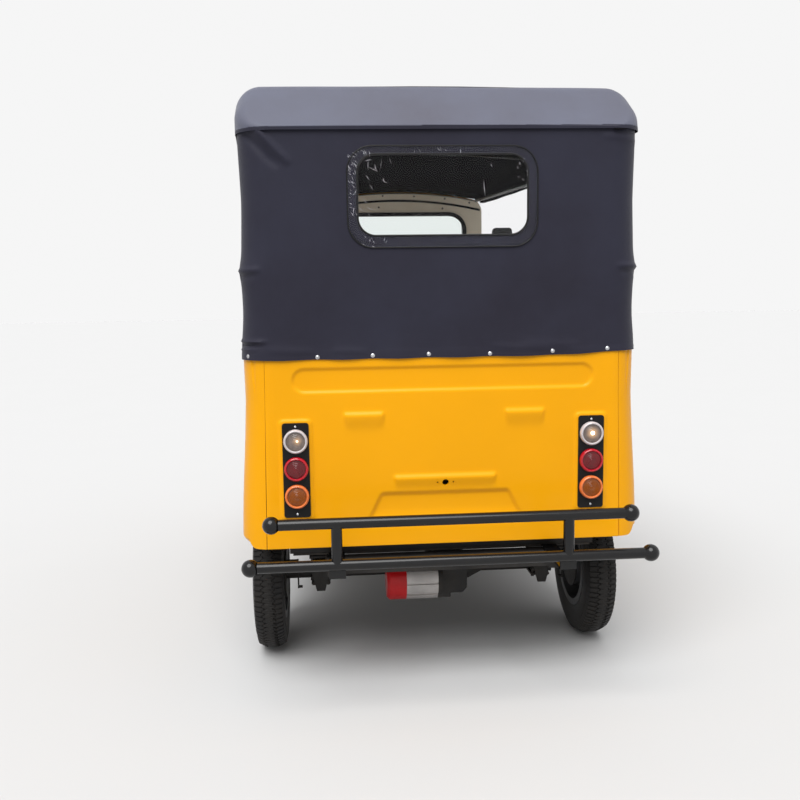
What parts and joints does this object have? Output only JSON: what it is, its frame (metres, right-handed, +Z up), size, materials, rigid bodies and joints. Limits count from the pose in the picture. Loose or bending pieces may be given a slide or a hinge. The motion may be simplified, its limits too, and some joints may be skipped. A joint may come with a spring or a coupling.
{
  "type": "auto rickshaw",
  "caption": "Three-wheeled auto rickshaw with a pressed body, canvas canopy with a clear rear window, tubular bumpers, handlebar steering and an electric rear axle.",
  "frame": {"origin": "on the ground under the middle of the vehicle's length and width", "axes": "+Y forward along the vehicle, +X to its right, +Z up"},
  "size_m": [1.271, 2.812, 1.93],
  "materials": {
    "yellow_paint": "gloss baked enamel",
    "black_paint": "satin chassis black",
    "black_gloss": "gloss powder coat",
    "cream_paint": "satin",
    "axle_black": "painted castings",
    "spring_steel": "black painted leaves",
    "motor_silver": "die cast",
    "motor_red": "gloss red",
    "wheel_steel": "black pressed steel",
    "tyre_rubber": "worn road rubber",
    "black_plastic": "fine texture",
    "gasket_rubber": "satin",
    "seat_vinyl": "grained coated cloth",
    "canvas_dark": "coated canvas",
    "canvas_light": "coated canvas",
    "clear_vinyl": "soft clear sheet",
    "window_glass": "safety glass",
    "clear_lens": "ribbed clear lens",
    "red_lens": "ribbed red lens",
    "amber_lens": "ribbed amber lens",
    "chrome_trim": "bright"
  },
  "bodies": {
    "body": {"chassis_frame": "black_paint", "floor_pan": "black_paint", "rear_panel": "yellow_paint", "body_side_right": "yellow_paint", "body_side_left": "yellow_paint", "seat_box": "black_paint", "passenger_cushion": "seat_vinyl", "passenger_backrest": "seat_vinyl", "driver_seat_base": "black_paint", "driver_cushion": "seat_vinyl", "driver_backrest": "seat_vinyl", "battery_pack": "black_plastic", "rear_bumper": "black_gloss", "tail_lamp_plates": "black_plastic", "tail_lenses_clear": "clear_lens", "tail_lenses_red": "red_lens", "tail_lenses_amber": "amber_lens", "rear_axle": "axle_black", "drive_motor": "motor_silver", "motor_end_cap": "motor_red", "leaf_springs": "spring_steel", "cab_nose": "yellow_paint", "headlamps": "chrome_trim", "headlamp_lenses": "clear_lens", "front_indicators": "amber_lens", "front_bumper": "black_gloss", "windscreen_liner": "cream_paint", "windscreen_frame": "yellow_paint", "windscreen_gasket": "gasket_rubber", "windscreen_glass": "window_glass", "dashboard": "black_plastic", "mirrors": "black_plastic", "wiper": "black_plastic", "canopy_roof": "canvas_light", "canopy_curtain": "canvas_dark", "rear_window": "clear_vinyl", "canopy_frame": "black_paint"},
    "steering": {"front_fork": "black_gloss", "front_mudguard": "yellow_paint", "handlebar": "black_gloss", "handlebar_grips": "gasket_rubber"},
    "front_wheel": {"front_tyre": "tyre_rubber", "front_rim": "wheel_steel"},
    "rear_wheel_left": {"rear_tyre_left": "tyre_rubber", "rear_rim_left": "wheel_steel"},
    "rear_wheel_right": {"rear_tyre_right": "tyre_rubber", "rear_rim_right": "wheel_steel"}
  },
  "joints": [
    {"name": "steering_turn", "type": "hinge", "parent": "body", "child": "steering", "pos_m": [0, 0.90406, 0.63039], "axis": [0, -0.4067, 0.9135], "range_deg": [-35, 35]},
    {"name": "front_wheel_spin", "type": "hinge", "parent": "steering", "child": "front_wheel", "pos_m": [0, 1.116, 0.265], "axis": [1, 0, 0], "continuous": true},
    {"name": "rear_left_spin", "type": "hinge", "parent": "body", "child": "rear_wheel_left", "pos_m": [-0.582, -0.744, 0.265], "axis": [1, 0, 0], "continuous": true},
    {"name": "rear_right_spin", "type": "hinge", "parent": "body", "child": "rear_wheel_right", "pos_m": [0.582, -0.744, 0.265], "axis": [1, 0, 0], "continuous": true}
  ]
}
